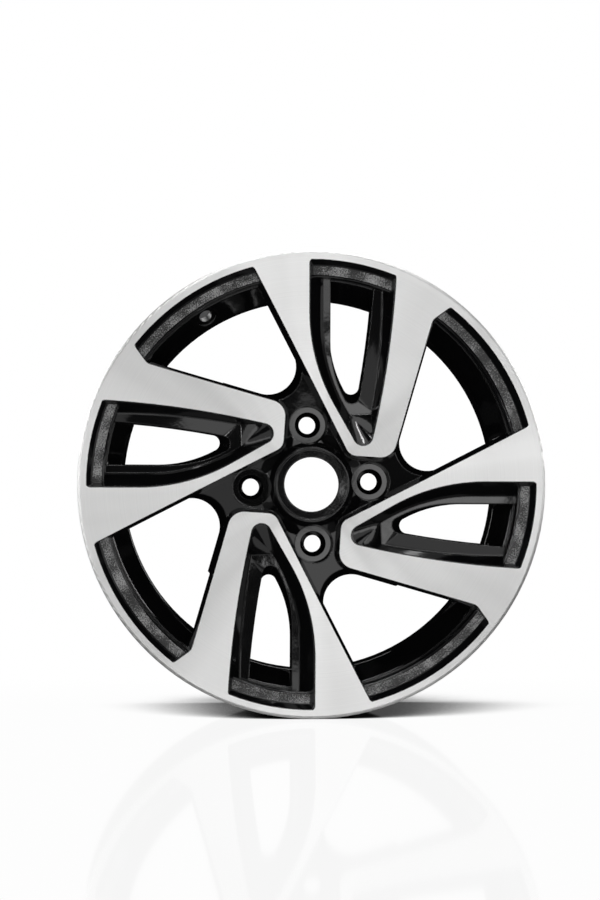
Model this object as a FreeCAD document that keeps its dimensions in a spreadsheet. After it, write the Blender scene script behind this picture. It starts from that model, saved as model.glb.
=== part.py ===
import FreeCAD, Part
import math
import os
from types import SimpleNamespace

import Sketcher
from FreeCAD import Vector

os.makedirs("parts", exist_ok=True)
doc = FreeCAD.newDocument("wheel_rim")
sheet = doc.addObject("Spreadsheet::Sheet", "sizes")

# Lengths in millimetres, angles in degrees. The wheel turns about Y, its face looks to -Y,
# and y = 0 is the middle of the rim width.
ROWS = [
    ("rim_width", 152.4, "bead to bead, inside the flanges"),
    ("bead_seat_radius", 177.4, "at the flange foot"),
    ("bead_seat_angle", 5.0, "taper of the bead seat"),
    ("bead_seat_length", 20.0, "flange to hump"),
    ("flange_height", 17.3, "above the bead seat"),
    ("flange_thickness", 11.5, "outer flange, along the axis"),
    ("back_flange_thickness", 13.0, "inner flange, along the axis"),
    ("flange_curl", 6.5, "radius of the flange on the tyre side"),
    ("bead_foot_radius", 6.5, "radius between flange and bead seat"),
    ("lip_edge_radius", 2.5, "rounded outer edge of both lips"),
    ("lip_edge_run", 0.1, "turning tool runs out past the flange"),
    ("hump_height", 1.1, "safety hump over the bead seat"),
    ("hump_length", 7.0, "safety hump along the axis"),
    ("drop_slope_length", 14.2, "front slope of the drop well"),
    ("well_drop", 16.6, "drop well below the bead seat"),
    ("well_length", 23.7, "bottom of the drop well"),
    ("well_ramp_length", 22.0, "rear slope of the drop well"),
    ("ramp_drop", 7.2, "upper end of the rear slope below the bead seat"),
    ("wall", 3.6, "barrel wall"),
    ("slope_wall", 6.0, "front slope wall, along the axis"),
    ("lip_rise", 9.8, "inner edge of the turned lip above the bead seat"),
    ("lip_overlap", 0.8, "casting corners reach under the lip wall"),
    ("ledge_rise", 4.7, "foot of the lip wall above the bead seat"),
    ("ledge_drop", 4.5, "inner edge of the ring ledge below the bead seat"),
    ("ledge_depth", 6.5, "ring ledge behind the lip"),
    ("ledge_edge_radius", 1.8, "rounded inner edge of the ring ledge"),
    ("seat_wall", 6.0, "wall under the front bead seat"),
    ("seat_step_depth", 25.0, "small step behind the lip"),
    ("back_lip_rise", 9.1, "inner edge of the rear lip above the bead seat"),
    ("crown_height", 1.5, "turned face ahead of the lip"),
    ("crown_peak_radius", 120.0, "highest ring of the turned face"),
    ("hub_offset", 38.0, "mounting face ahead of the middle"),
    ("hub_pad_radius", 68.0, "mounting pad"),
    ("hub_pad_step", 6.0, "pad behind the spoke backs"),
    ("hub_disc_radius", 113.0, "hub web under the spokes"),
    ("hub_web_depth", 25.3, "edge of the hub web behind the lip"),
    ("hub_bore_radius", 27.05, "centring bore"),
    ("bore_chamfer", 1.5, "lead-in of the centring bore"),
    ("cap_seat_radius", 29.3, "recess for a centre cap"),
    ("cap_seat_depth", 4.5, "recess for a centre cap"),
    ("cap_clip_radius", 22.75, "opening behind the cap"),
    ("cap_clip_length", 5.0, "lip that the cap snaps behind"),
    ("cap_ring_depth", 7.5, "cap ring behind the lip"),
    ("cap_ring_width", 1.9, "flat top of the cap ring"),
    ("hub_flank_radius", 35.5, "foot of the cap ring's flank"),
    ("hub_flank_depth", 14.0, "foot of the cap ring's flank, behind the lip"),
    ("hub_shoulder_radius", 44.0, "start of the hub web"),
    ("hub_shoulder_depth", 18.2, "start of the hub web, behind the lip"),
    ("lug_circle_radius", 50.0, "half the pitch circle"),
    ("lug_count", 4, "lug holes, and spokes"),
    ("lug_hole_radius", 7.25, "clearance hole"),
    ("lug_cone_radius", 10.7, "rim of the conical seat"),
    ("lug_cone_angle", 30.0, "half angle of the conical seat"),
    ("lug_seat_radius", 15.1, "flat round the conical seat"),
    ("lug_seat_depth", 35.0, "flat behind the lip"),
    ("lug_draft", 3.4, "draft of the lug pocket"),
    ("relief_inner_radius", 34.0, "relief between the lugs, back of the pad"),
    ("relief_outer_radius", 62.0, "relief between the lugs, back of the pad"),
    ("relief_half_angle", 21.0, "relief between the lugs, back of the pad"),
    ("relief_depth", 9.0, "relief between the lugs, back of the pad"),
    ("back_rib", 7.0, "rib left round the hollows in the spoke backs"),
    ("back_depth", 17.0, "hollows in the spoke backs"),
    ("back_draft", 5.0, "hollows in the spoke backs"),
    ("back_corner", 5.5, "hollows in the spoke backs"),
    ("wide_inner_angle", -9.5, "wide limb's opening side, normal"),
    ("wide_inner_offset", 32.4, "wide limb's opening side, from the axis"),
    ("wide_foot_angle", 70.0, "wide limb's hollow, hub end, normal"),
    ("wide_foot_offset", 86.0, "wide limb's hollow, hub end, from the axis"),
    ("wide_head_angle", 62.0, "wide limb's hollow, rim end, normal"),
    ("wide_head_offset", 149.0, "wide limb's hollow, rim end, from the axis"),
    ("narrow_inner_angle", 2.2, "narrow limb's opening side, normal"),
    ("narrow_inner_offset", 29.4, "narrow limb's opening side, from the axis"),
    ("narrow_foot_angle", 92.0, "narrow limb's hollow, hub end, normal"),
    ("narrow_foot_offset", 87.0, "narrow limb's hollow, hub end, from the axis"),
    ("narrow_head_angle", 97.0, "narrow limb's hollow, rim end, normal"),
    ("narrow_head_offset", 149.0, "narrow limb's hollow, rim end, from the axis"),
    ("spoke_front", 4.0, "casting ahead of the lip before turning"),
    ("spoke_depth", 43.7, "spoke back behind the lip"),
    ("belly_depth", 18.0, "widest section of the spokes, behind the lip"),
    ("spoke_draft", 8.4, "draft of the spoke sides ahead of it"),
    ("spoke_back_draft", 2.0, "draft of the spoke sides behind it"),
    ("root_overlap", 2.8, "spoke root inside the lip"),
    ("lead_edge_offset", 39.4, "narrow limb's edge from the axis"),
    ("lead_edge_angle", 24.45, "direction of its normal"),
    ("trail_edge_offset", 57.4, "wide limb's edge from the axis"),
    ("trail_edge_angle", -18.9, "direction of its normal"),
    ("tip_edge_offset", 27.0, "spoke tip from the axis"),
    ("tip_edge_angle", 83.2, "direction of its normal"),
    ("flare_drop", 135.2, "flared end of the wide limb below the lip's inner edge"),
    ("flare_angle", 123.5, "direction of its normal"),
    ("tip_lead_radius", 9.0, "tip corner on the narrow limb"),
    ("tip_trail_radius", 13.0, "tip corner on the wide limb"),
    ("flare_radius", 8.0, "bend into the flare"),
    ("window_corner", 4.4, "window corners at the lip"),
    ("throat_radius", 26.8, "hub end of a window, front"),
    ("throat_across", 96.8, "hub end of a window, front"),
    ("throat_up", 28.4, "hub end of a window, front"),
    ("throat_depth", 15.7, "where those three are taken, behind the lip"),
    ("throat_back_radius", 22.8, "hub end of a window, back"),
    ("throat_back_across", 102.5, "hub end of a window, back"),
    ("throat_back_up", 31.3, "hub end of a window, back"),
    ("throat_reach", 62.0, "how far the throat cut runs outward"),
    ("pocket_lead_offset", 48.4, "pocket edge along the narrow limb"),
    ("pocket_lead_angle", 26.9, "direction of its normal"),
    ("pocket_root_offset", 2.9, "pocket edge near the lip"),
    ("pocket_root_angle", 177.2, "direction of its normal"),
    ("pocket_bend_radius", 155.8, "bend between those two"),
    ("pocket_side_radius", 798.0, "pocket edge along the wide limb"),
    ("pocket_side_across", -715.9, "its centre"),
    ("pocket_side_up", 252.8, "its centre"),
    ("pocket_tip_radius", 8.4, "pocket tip"),
    ("pocket_toe", 2.0, "upper end of the ramp at the pocket tip"),
    ("pocket_corner", 4.3, "pocket corners at the lip"),
    ("pocket_lip_depth", 2.0, "upright edge of the pocket"),
    ("pocket_lip_inset", 0.6, "foot of the upright edge"),
    ("pocket_depth", 18.0, "pocket ledge behind the lip"),
    ("floor_lead_inset", 8.0, "pocket floor from the edge along the narrow limb"),
    ("floor_root_inset", 12.3, "pocket floor from the edge near the lip"),
    ("floor_bend_radius", 145.0, "bend between those two"),
    ("floor_side_radius", 566.0, "pocket floor along the wide limb"),
    ("floor_side_across", -498.0, "its centre"),
    ("floor_side_up", 186.4, "its centre"),
    ("floor_ramp_up", 56.8, "foot of the ramp at the pocket tip"),
    ("floor_ramp_run", 5.0, "floor edge that the tip's round runs down to"),
    ("pocket_end_gap", 2.6, "pocket floor's end below the lip wall's foot"),
    ("slope_fall", 2.8, "fall of the floor toward the opening, wide limb"),
    ("slope_foot", 60.0, "hub end of that fall"),
    ("slope_margin", 1.0, "level floor left between that fall and the wall"),
    ("slope_lap", 3.0, "cut for that fall reaches into the opening"),
    ("opening_lead_inset", 18.6, "opening from the pocket edge, narrow limb"),
    ("opening_side_inset", 16.9, "opening from the pocket edge, wide limb"),
    ("opening_bend_radius", 100.0, "opening along the narrow limb"),
    ("opening_tip_radius", 6.6, "tip of the opening"),
    ("opening_tip_up", 72.8, "centre of the opening's tip, at the ledge"),
    ("opening_tip_run", 8.6, "how far the tip wall leans outward"),
    ("opening_draft", 1.5, "draft of the opening's sides"),
    ("valve_radius", 5.7, "valve hole"),
    ("valve_seat_radius", 9.0, "flat round the valve hole"),
    ("valve_drop", 11.2, "valve hole below the bead seat"),
    ("valve_depth", 38.0, "valve hole behind the lip"),
    ("valve_clock", 119.2, "valve hole round the wheel"),
    ("valve_tilt", 45.0, "valve hole against the wheel axis"),
    ("valve_seat_sink", 1.0, "flat below the slope"),
    ("stance_roll", 2.6, "how far the wheel has rolled"),
]
for row, (alias, number, note) in enumerate(ROWS, start=1):
    sheet.set(f"A{row}", note)
    sheet.set(f"B{row}", str(number))
    sheet.setAlias(f"B{row}", alias)
doc.recompute()


class Size:
    """A number of the sheet, or a sum made of them, with the expression that gives it."""

    def __init__(self, value, text):
        self.value = float(value)
        self.text = text

    @staticmethod
    def of(other):
        if isinstance(other, Size):
            return other
        return Size(other, repr(float(other)))

    def __add__(self, other):
        other = Size.of(other)
        return Size(self.value + other.value, f"({self.text} + {other.text})")

    def __sub__(self, other):
        other = Size.of(other)
        return Size(self.value - other.value, f"({self.text} - {other.text})")

    def __mul__(self, other):
        other = Size.of(other)
        return Size(self.value * other.value, f"({self.text} * {other.text})")

    def __truediv__(self, other):
        other = Size.of(other)
        return Size(self.value / other.value, f"({self.text} / {other.text})")

    def __neg__(self):
        return Size(-self.value, f"(0 - {self.text})")

    def tan(self):
        return Size(math.tan(math.radians(self.value)), f"tan({self.text} * 1 deg)")

    def sin(self):
        return Size(math.sin(math.radians(self.value)), f"sin({self.text} * 1 deg)")

    def cos(self):
        return Size(math.cos(math.radians(self.value)), f"cos({self.text} * 1 deg)")


s = SimpleNamespace(**{name: Size(sheet.get(name), f"sizes.{name}") for name, _, _ in ROWS})

s.well_radius = s.bead_seat_radius - s.well_drop
s.ramp_end_radius = s.bead_seat_radius - s.ramp_drop
s.seat_inner_radius = s.bead_seat_radius - s.seat_wall
s.ledge_inner_radius = s.bead_seat_radius - s.ledge_drop
s.ledge_outer_radius = s.bead_seat_radius + s.ledge_rise
s.lip_inner_radius = s.bead_seat_radius + s.lip_rise
s.back_lip_radius = s.bead_seat_radius + s.back_lip_rise
s.root_radius = s.lip_inner_radius + s.root_overlap
s.flare_offset = s.lip_inner_radius - s.flare_drop
s.pocket_end_radius = s.ledge_outer_radius - s.pocket_end_gap
s.valve_circle_radius = s.bead_seat_radius - s.valve_drop
half = s.rim_width / 2
lip = -(half + s.flange_thickness)
front = lip - s.spoke_front
back = half + s.back_flange_thickness
pad_face = -s.hub_offset
spoke_back = lip + s.spoke_depth
cast_lip = s.lip_inner_radius + s.lip_overlap

body = doc.addObject("PartDesign::Body", "wheel_rim")
body.Label = "wheel_rim"


class Outline:
    """A closed chain of lines and arcs in one sketch, sized from the sheet."""

    def __init__(self, label, role, height=None):
        """Starts a sketch on an origin plane, `height` along the plane's normal."""
        self.sketch = body.newObject("Sketcher::SketchObject", label)
        plane = [f for f in body.Origin.OriginFeatures if f.Role == role][0]
        self.sketch.AttachmentSupport = [(plane, "")]
        self.sketch.MapMode = "FlatFace"
        if height is not None:
            self.sketch.AttachmentOffset = FreeCAD.Placement(
                Vector(0, 0, height.value), FreeCAD.Rotation()
            )
            self.sketch.setExpression("AttachmentOffset.Base.z", height.text)
        self.edges = []

    def line(self, p, q):
        """Adds a straight edge from p to q."""
        index = self.sketch.addGeometry(Part.LineSegment(p, q), False)
        self.edges.append((index, 1, 2))
        return index

    def arc(self, centre, p, q, left):
        """Adds an arc from p to q about a centre; `left` tells that it turns left."""
        radius = p.distanceToPoint(centre)
        first, last = (p, q) if left else (q, p)
        start = math.atan2(first.y - centre.y, first.x - centre.x)
        stop = math.atan2(last.y - centre.y, last.x - centre.x)
        if stop <= start:
            stop += 2 * math.pi
        circle = Part.Circle(centre, Vector(0, 0, 1), radius)
        index = self.sketch.addGeometry(Part.ArcOfCircle(circle, start, stop), False)
        self.edges.append((index, 1, 2) if left else (index, 2, 1))
        return index

    def close(self, joints):
        """Joins each edge to the next one with the named constraint."""
        for i, kind in enumerate(joints):
            one, _, end = self.edges[i]
            two, start, _ = self.edges[(i + 1) % len(self.edges)]
            self.sketch.addConstraint(Sketcher.Constraint(kind, one, end, two, start))

    def tie(self, constraint, size, degrees=False):
        """Adds a constraint and binds its value to the sheet."""
        index = self.sketch.addConstraint(constraint)
        text = f"{size.text} * 1 deg" if degrees else size.text
        self.sketch.setExpression(f"Constraints[{index}]", text)

    def radius(self, edge, size):
        self.tie(Sketcher.Constraint("Radius", edge, size.value), size)

    def at(self, edge, point, x, y):
        """Ties one point of an edge to the place x, y."""
        self.tie(Sketcher.Constraint("DistanceX", -1, 1, edge, point, x.value), x)
        self.tie(Sketcher.Constraint("DistanceY", -1, 1, edge, point, y.value), y)

    def offset(self, edge, size):
        """Ties the distance of a straight edge from the axis."""
        self.tie(Sketcher.Constraint("Distance", -1, 1, edge, size.value), size)

    def heading(self, edge, size):
        """Ties the direction of a straight edge."""
        self.tie(Sketcher.Constraint("Angle", edge, math.radians(size.value)), size, True)

    def reach(self, edge, size):
        """Ties the distance of an arc's centre from the axis."""
        self.tie(Sketcher.Constraint("Distance", -1, 1, edge, 3, size.value), size)

    def centred(self, edge):
        """Puts an arc's centre on the axis."""
        self.sketch.addConstraint(Sketcher.Constraint("Coincident", edge, 3, -1, 1))

    def corners(self, steps):
        """Draws a closed outline through points (x, y) or arcs to (x, y, radius, left)."""
        count = len(steps)
        spots = [Vector(step[0].value, step[1].value, 0) for step in steps]
        for i in range(count):
            p = spots[i]
            q = spots[(i + 1) % count]
            step = steps[(i + 1) % count]
            if len(step) == 2:
                self.line(p, q)
                continue
            chord = q - p
            middle = (p + q) * 0.5
            side = Vector(-chord.y, chord.x, 0).normalize()
            rise = math.sqrt(max(step[2].value ** 2 - chord.Length ** 2 / 4, 0.0))
            centre = middle + side * (rise if step[3] else -rise)
            edge = self.arc(centre, p, q, step[3])
            self.radius(edge, step[2])
        self.close(["Coincident"] * count)
        for i in range(count):
            edge, start, _ = self.edges[i]
            self.at(edge, start, steps[i][0], steps[i][1])
        return self.sketch


def along(angle, distance):
    """The point at a distance from the axis in the direction of an angle in degrees."""
    return Vector(math.cos(math.radians(angle)), math.sin(math.radians(angle)), 0) * distance


def meet(angle_a, offset_a, angle_b, offset_b):
    """The point where two straight edges cross, each given by its normal and offset."""
    a = along(angle_a, 1)
    b = along(angle_b, 1)
    det = a.x * b.y - a.y * b.x
    x = (offset_a * b.y - offset_b * a.y) / det
    y = (a.x * offset_b - b.x * offset_a) / det
    return Vector(x, y, 0)


def on_circle(angle, offset, radius, ahead):
    """Where a straight edge crosses a circle about the axis, ahead along the edge or behind."""
    run = math.sqrt(radius ** 2 - offset ** 2)
    return along(angle, offset) + along(angle + 90, run if ahead else -run)


def revolve(sketch, label, kind):
    """Turns a sketch about the wheel axis."""
    feature = body.newObject(kind, label)
    feature.Profile = sketch
    feature.ReferenceAxis = (sketch, ["V_Axis"])
    feature.Angle = 360
    doc.recompute()
    return feature


def repeat(features, label):
    """Repeats features round the wheel, once per spoke."""
    pattern = body.newObject("PartDesign::PolarPattern", label)
    pattern.Originals = features
    axis = [f for f in body.Origin.OriginFeatures if f.Role == "Y_Axis"][0]
    pattern.Axis = (axis, [""])
    pattern.Angle = 360
    pattern.setExpression("Occurrences", s.lug_count.text)
    body.Tip = pattern
    doc.recompute()
    return pattern


# Hub: cap recess, centring bore, mounting pad and the web that carries the spokes.
ring = lip + s.cap_ring_depth
clip_face = ring + s.cap_seat_depth
clip_back = clip_face + s.cap_clip_length
web_front = lip + s.hub_web_depth
hub = Outline("hub_section", "XY_Plane").corners([
    (s.cap_seat_radius, ring),
    (s.cap_seat_radius, clip_face),
    (s.cap_clip_radius, clip_face),
    (s.cap_clip_radius, clip_back),
    (s.hub_bore_radius, clip_back),
    (s.hub_bore_radius, pad_face - s.bore_chamfer),
    (s.hub_bore_radius + s.bore_chamfer, pad_face),
    (s.hub_pad_radius, pad_face),
    (s.hub_pad_radius + s.hub_pad_step / 3, spoke_back),
    (s.hub_disc_radius, spoke_back),
    (s.hub_disc_radius, web_front),
    (s.hub_shoulder_radius, lip + s.hub_shoulder_depth),
    (s.hub_flank_radius, lip + s.hub_flank_depth),
    (s.cap_seat_radius + s.cap_ring_width, ring),
])
revolve(hub, "hub", "PartDesign::Revolution")


def throat_outline(label, height, radius, across, up):
    """Draws the rounded hub end of a window, opening outward between two spokes."""
    shape = Outline(label, "XZ_Plane", height)
    centre = Vector(across.value, up.value, 0)
    low = s.lead_edge_angle.value
    high = s.trail_edge_angle.value + 90
    p = centre + along(high + 90, radius.value)
    q = centre + along(low - 90, radius.value)
    reach = s.throat_reach.value
    bend = shape.arc(centre, p, q, True)
    lower = shape.line(q, q + along(low, reach))
    shape.line(q + along(low, reach), p + along(high, reach))
    upper = shape.line(p + along(high, reach), p)
    shape.close(["Tangent", "Coincident", "Coincident", "Tangent"])
    shape.radius(bend, radius)
    shape.at(bend, 3, across, up)
    shape.heading(lower, s.lead_edge_angle)
    shape.heading(upper, s.trail_edge_angle + 270)
    for side in (lower, upper):
        shape.tie(Sketcher.Constraint("Distance", side, reach), s.throat_reach)
    return shape.sketch


throat_front = throat_outline(
    "throat_front", -(lip + s.throat_depth), s.throat_radius, s.throat_across, s.throat_up
)
throat_rear = throat_outline(
    "throat_rear", -(pad_face + 2), s.throat_back_radius, s.throat_back_across, s.throat_back_up
)
throat = body.newObject("PartDesign::SubtractiveLoft", "throat")
throat.Profile = throat_front
throat.Sections = [throat_rear]
throat.Ruled = True
doc.recompute()
repeat([throat], "throats")


def spoke_outline(label, height, grow):
    """Draws one forked spoke in plan, its sides moved outward by `grow`."""
    shape = Outline(label, "XZ_Plane", height)
    wider = grow.value
    lead, lead_off = s.lead_edge_angle.value, s.lead_edge_offset.value - wider
    trail, trail_off = s.trail_edge_angle.value, s.trail_edge_offset.value + wider
    tip, tip_off = s.tip_edge_angle.value, s.tip_edge_offset.value - wider
    flare, flare_off = s.flare_angle.value, s.flare_offset.value - wider
    corner = s.window_corner.value
    inner = cast_lip.value
    root = s.root_radius.value
    r_lead = s.tip_lead_radius.value + wider
    r_trail = s.tip_trail_radius.value + wider
    r_flare = s.flare_radius.value

    c_lead = meet(lead, lead_off + r_lead, tip, tip_off + r_lead)
    c_trail = meet(tip, tip_off + r_trail, trail, trail_off - r_trail)
    c_flare = meet(trail, trail_off + r_flare, flare, flare_off - r_flare)
    c_high = on_circle(flare, flare_off - corner, inner - corner, False)
    c_low = on_circle(lead, lead_off - corner, inner - corner, True)
    a = c_lead - along(lead, r_lead)
    b = c_lead - along(tip, r_lead)
    c = c_trail - along(tip, r_trail)
    d = c_trail + along(trail, r_trail)
    e = c_flare - along(trail, r_flare)
    f = c_flare + along(flare, r_flare)
    g = c_high + along(flare, corner)
    h = c_high * (inner / (inner - corner))
    k = h * (root / inner)
    o = c_low + along(lead, corner)
    n = c_low * (inner / (inner - corner))
    m = n * (root / inner)

    arc_lead = shape.arc(c_lead, a, b, True)
    line_tip = shape.line(b, c)
    arc_trail = shape.arc(c_trail, c, d, True)
    line_trail = shape.line(d, e)
    arc_flare = shape.arc(c_flare, e, f, False)
    line_flare = shape.line(f, g)
    arc_high = shape.arc(c_high, g, h, False)
    rise_high = shape.line(h, k)
    arc_root = shape.arc(Vector(0, 0, 0), k, m, True)
    rise_low = shape.line(m, n)
    arc_low = shape.arc(c_low, n, o, False)
    line_lead = shape.line(o, a)
    shape.close([
        "Tangent", "Tangent", "Tangent", "Tangent", "Tangent", "Tangent",
        "Perpendicular", "Coincident", "Coincident", "Perpendicular", "Tangent", "Tangent",
    ])
    shape.radius(arc_lead, s.tip_lead_radius + grow)
    shape.radius(arc_trail, s.tip_trail_radius + grow)
    shape.radius(arc_flare, s.flare_radius)
    shape.radius(arc_high, s.window_corner)
    shape.radius(arc_low, s.window_corner)
    shape.radius(arc_root, s.root_radius)
    shape.centred(arc_root)
    for rise in (rise_high, rise_low):
        shape.sketch.addConstraint(Sketcher.Constraint("PointOnObject", -1, 1, rise))
    shape.reach(arc_high, cast_lip - s.window_corner)
    shape.reach(arc_low, cast_lip - s.window_corner)
    shape.offset(line_tip, s.tip_edge_offset - grow)
    shape.offset(line_trail, s.trail_edge_offset + grow)
    shape.offset(line_flare, s.flare_offset - grow)
    shape.offset(line_lead, s.lead_edge_offset - grow)
    shape.heading(line_tip, s.tip_edge_angle - 90)
    shape.heading(line_trail, s.trail_edge_angle + 90)
    shape.heading(line_flare, s.flare_angle - 90)
    shape.heading(line_lead, s.lead_edge_angle - 90)
    return shape.sketch


none = Size.of(0)
spoke_face = spoke_outline("spoke_face", -front, none)
belly = lip + s.belly_depth
belly_grow = (belly - front) * s.spoke_draft.tan()
rear_grow = belly_grow - (spoke_back - belly) * s.spoke_back_draft.tan()
spoke_belly = spoke_outline("spoke_belly", -belly, belly_grow)
spoke_rear = spoke_outline("spoke_rear", -spoke_back, rear_grow)
spoke = body.newObject("PartDesign::AdditiveLoft", "spoke")
spoke.Profile = spoke_face
spoke.Sections = [spoke_belly, spoke_rear]
spoke.Ruled = True
doc.recompute()
repeat([spoke], "spokes")

# The spoke roots end inside the rim wall, so that none shows on the tyre side.
seat_mid = (s.bead_seat_radius + s.seat_inner_radius) / 2
drop_start = -(half - s.bead_seat_length - s.hump_length)
drop_end = drop_start + s.drop_slope_length
well_mid = s.well_radius - s.wall / 2
trim = Outline("root_trim_section", "XY_Plane").corners([
    (s.root_radius + 8, front - 8),
    (s.root_radius, front - 8),
    (s.root_radius, lip + s.ledge_depth + 2),
    (seat_mid, lip + s.ledge_depth + 3),
    (seat_mid, drop_start - s.slope_wall / 2),
    (well_mid, drop_end - s.slope_wall / 2),
    (well_mid, drop_end + 20),
    (s.root_radius + 8, drop_end + 20),
])
revolve(trim, "root_trim", "PartDesign::Groove")


def pocket_outline(label, height, plan, tip, end_radius, floor):
    """Draws a spoke's pocket in plan: its mouth, or its floor with a straight crease at the tip."""
    shape = Outline(label, "XZ_Plane", height)
    lead, lead_off = s.pocket_lead_angle.value, plan.lead.value
    root, root_off = s.pocket_root_angle.value, plan.root.value
    bend, side = plan.bend.value, plan.side.value
    centre = Vector(plan.across.value, plan.up.value, 0)
    end = end_radius.value
    edge = s.pocket_corner.value

    c_bend = meet(lead, lead_off + bend, root, root_off - bend)
    c_left = on_circle(root, root_off - edge, end - edge, False)
    reach = centre.Length
    toward = (reach ** 2 + (end - edge) ** 2 - (side - edge) ** 2) / (2 * reach)
    across = math.sqrt((end - edge) ** 2 - toward ** 2)
    unit = centre * (1 / reach)
    c_right = unit * toward + Vector(unit.y, -unit.x, 0) * across
    bend_low = c_bend - along(lead, bend)
    bend_high = c_bend + along(root, bend)
    left_low = c_left + along(root, edge)
    left_high = c_left * (end / (end - edge))
    right_high = c_right * (end / (end - edge))
    right_low = centre + (c_right - centre).normalize() * side
    normal = along(lead, 1)
    if floor:
        up = tip.value
        heel = Vector((lead_off - normal.y * up) / normal.x, up, 0)
        lead_end = heel - along(lead - 90, s.floor_ramp_run.value)
        run = math.sqrt(side ** 2 - (up - centre.y) ** 2)
        toe = Vector(centre.x + run, up, 0)
        first = shape.line(lead_end, heel)
        second = shape.line(heel, toe)
    else:
        gap = normal.dot(centre) - (lead_off + tip.value)
        run = math.sqrt((side - tip.value) ** 2 - gap ** 2)
        c_tip = centre - normal * gap + along(lead - 90, run)
        lead_end = c_tip - normal * tip.value
        heel = centre + (c_tip - centre).normalize() * side
        turn = 2 * math.asin(s.pocket_toe.value / (2 * side))
        arm = heel - centre
        spin = FreeCAD.Rotation(Vector(0, 0, 1), math.degrees(turn))
        toe = centre + spin.multVec(arm)
        first = shape.arc(c_tip, lead_end, heel, True)
        second = shape.arc(centre, heel, toe, True)
    arc_side = shape.arc(centre, toe, right_low, True)
    arc_right = shape.arc(c_right, right_low, right_high, True)
    arc_end = shape.arc(Vector(0, 0, 0), right_high, left_high, True)
    arc_left = shape.arc(c_left, left_high, left_low, True)
    line_root = shape.line(left_low, bend_high)
    arc_bend = shape.arc(c_bend, bend_high, bend_low, True)
    line_lead = shape.line(bend_low, lead_end)
    start = "Coincident" if floor else "Tangent"
    stop = "Coincident" if floor else "Tangent"
    shape.close([start, "Coincident"] + ["Tangent"] * 6 + [stop])
    if floor:
        shape.heading(first, s.pocket_lead_angle - 90)
        shape.tie(Sketcher.Constraint("Distance", first, s.floor_ramp_run.value), s.floor_ramp_run)
        shape.sketch.addConstraint(Sketcher.Constraint("Horizontal", second))
        shape.tie(Sketcher.Constraint("DistanceY", -1, 1, second, 1, tip.value), tip)
    else:
        shape.radius(first, tip)
        shape.sketch.addConstraint(Sketcher.Constraint("Coincident", second, 3, arc_side, 3))
        chord = Sketcher.Constraint("Distance", second, 1, second, 2, s.pocket_toe.value)
        shape.tie(chord, s.pocket_toe)
    shape.radius(arc_side, plan.side)
    shape.at(arc_side, 3, plan.across, plan.up)
    shape.radius(arc_right, s.pocket_corner)
    shape.radius(arc_left, s.pocket_corner)
    shape.radius(arc_end, end_radius)
    shape.centred(arc_end)
    shape.radius(arc_bend, plan.bend)
    shape.offset(line_lead, plan.lead)
    shape.heading(line_lead, s.pocket_lead_angle - 90)
    shape.heading(line_root, s.pocket_root_angle + 90)
    shape.offset(line_root, plan.root if root_off >= 0 else -plan.root)
    return shape.sketch


def mouth_plan(inset):
    """The pocket's mouth moved inward by `inset`."""
    return SimpleNamespace(
        lead=s.pocket_lead_offset + inset,
        root=s.pocket_root_offset - inset,
        bend=s.pocket_bend_radius - inset,
        side=s.pocket_side_radius - inset,
        across=s.pocket_side_across,
        up=s.pocket_side_up,
    )


floor_plan = SimpleNamespace(
    lead=s.pocket_lead_offset + s.floor_lead_inset,
    root=s.pocket_root_offset - s.floor_root_inset,
    bend=s.floor_bend_radius,
    side=s.floor_side_radius,
    across=s.floor_side_across,
    up=s.floor_side_up,
)
lip_floor = lip + s.pocket_lip_depth
ledge = lip + s.pocket_depth
pocket_lip = body.newObject("PartDesign::Pocket", "pocket_lip")
pocket_lip.Profile = pocket_outline(
    "pocket_mouth", -front, mouth_plan(none), s.pocket_tip_radius, cast_lip, False
)
pocket_lip.setExpression("Length", (s.spoke_front + s.pocket_lip_depth).text)
doc.recompute()

# The sloped wall of the pocket, from the foot of its upright edge down to the ledge.
pocket_top = pocket_outline(
    "pocket_top", -lip_floor, mouth_plan(s.pocket_lip_inset), s.pocket_tip_radius,
    cast_lip - s.pocket_lip_inset, False
)
pocket_floor = pocket_outline(
    "pocket_floor", -ledge, floor_plan, s.floor_ramp_up, s.pocket_end_radius, True
)
pocket_wall = body.newObject("PartDesign::SubtractiveLoft", "pocket_wall")
pocket_wall.Profile = pocket_top
pocket_wall.Sections = [pocket_floor]
pocket_wall.Ruled = True
doc.recompute()


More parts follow.
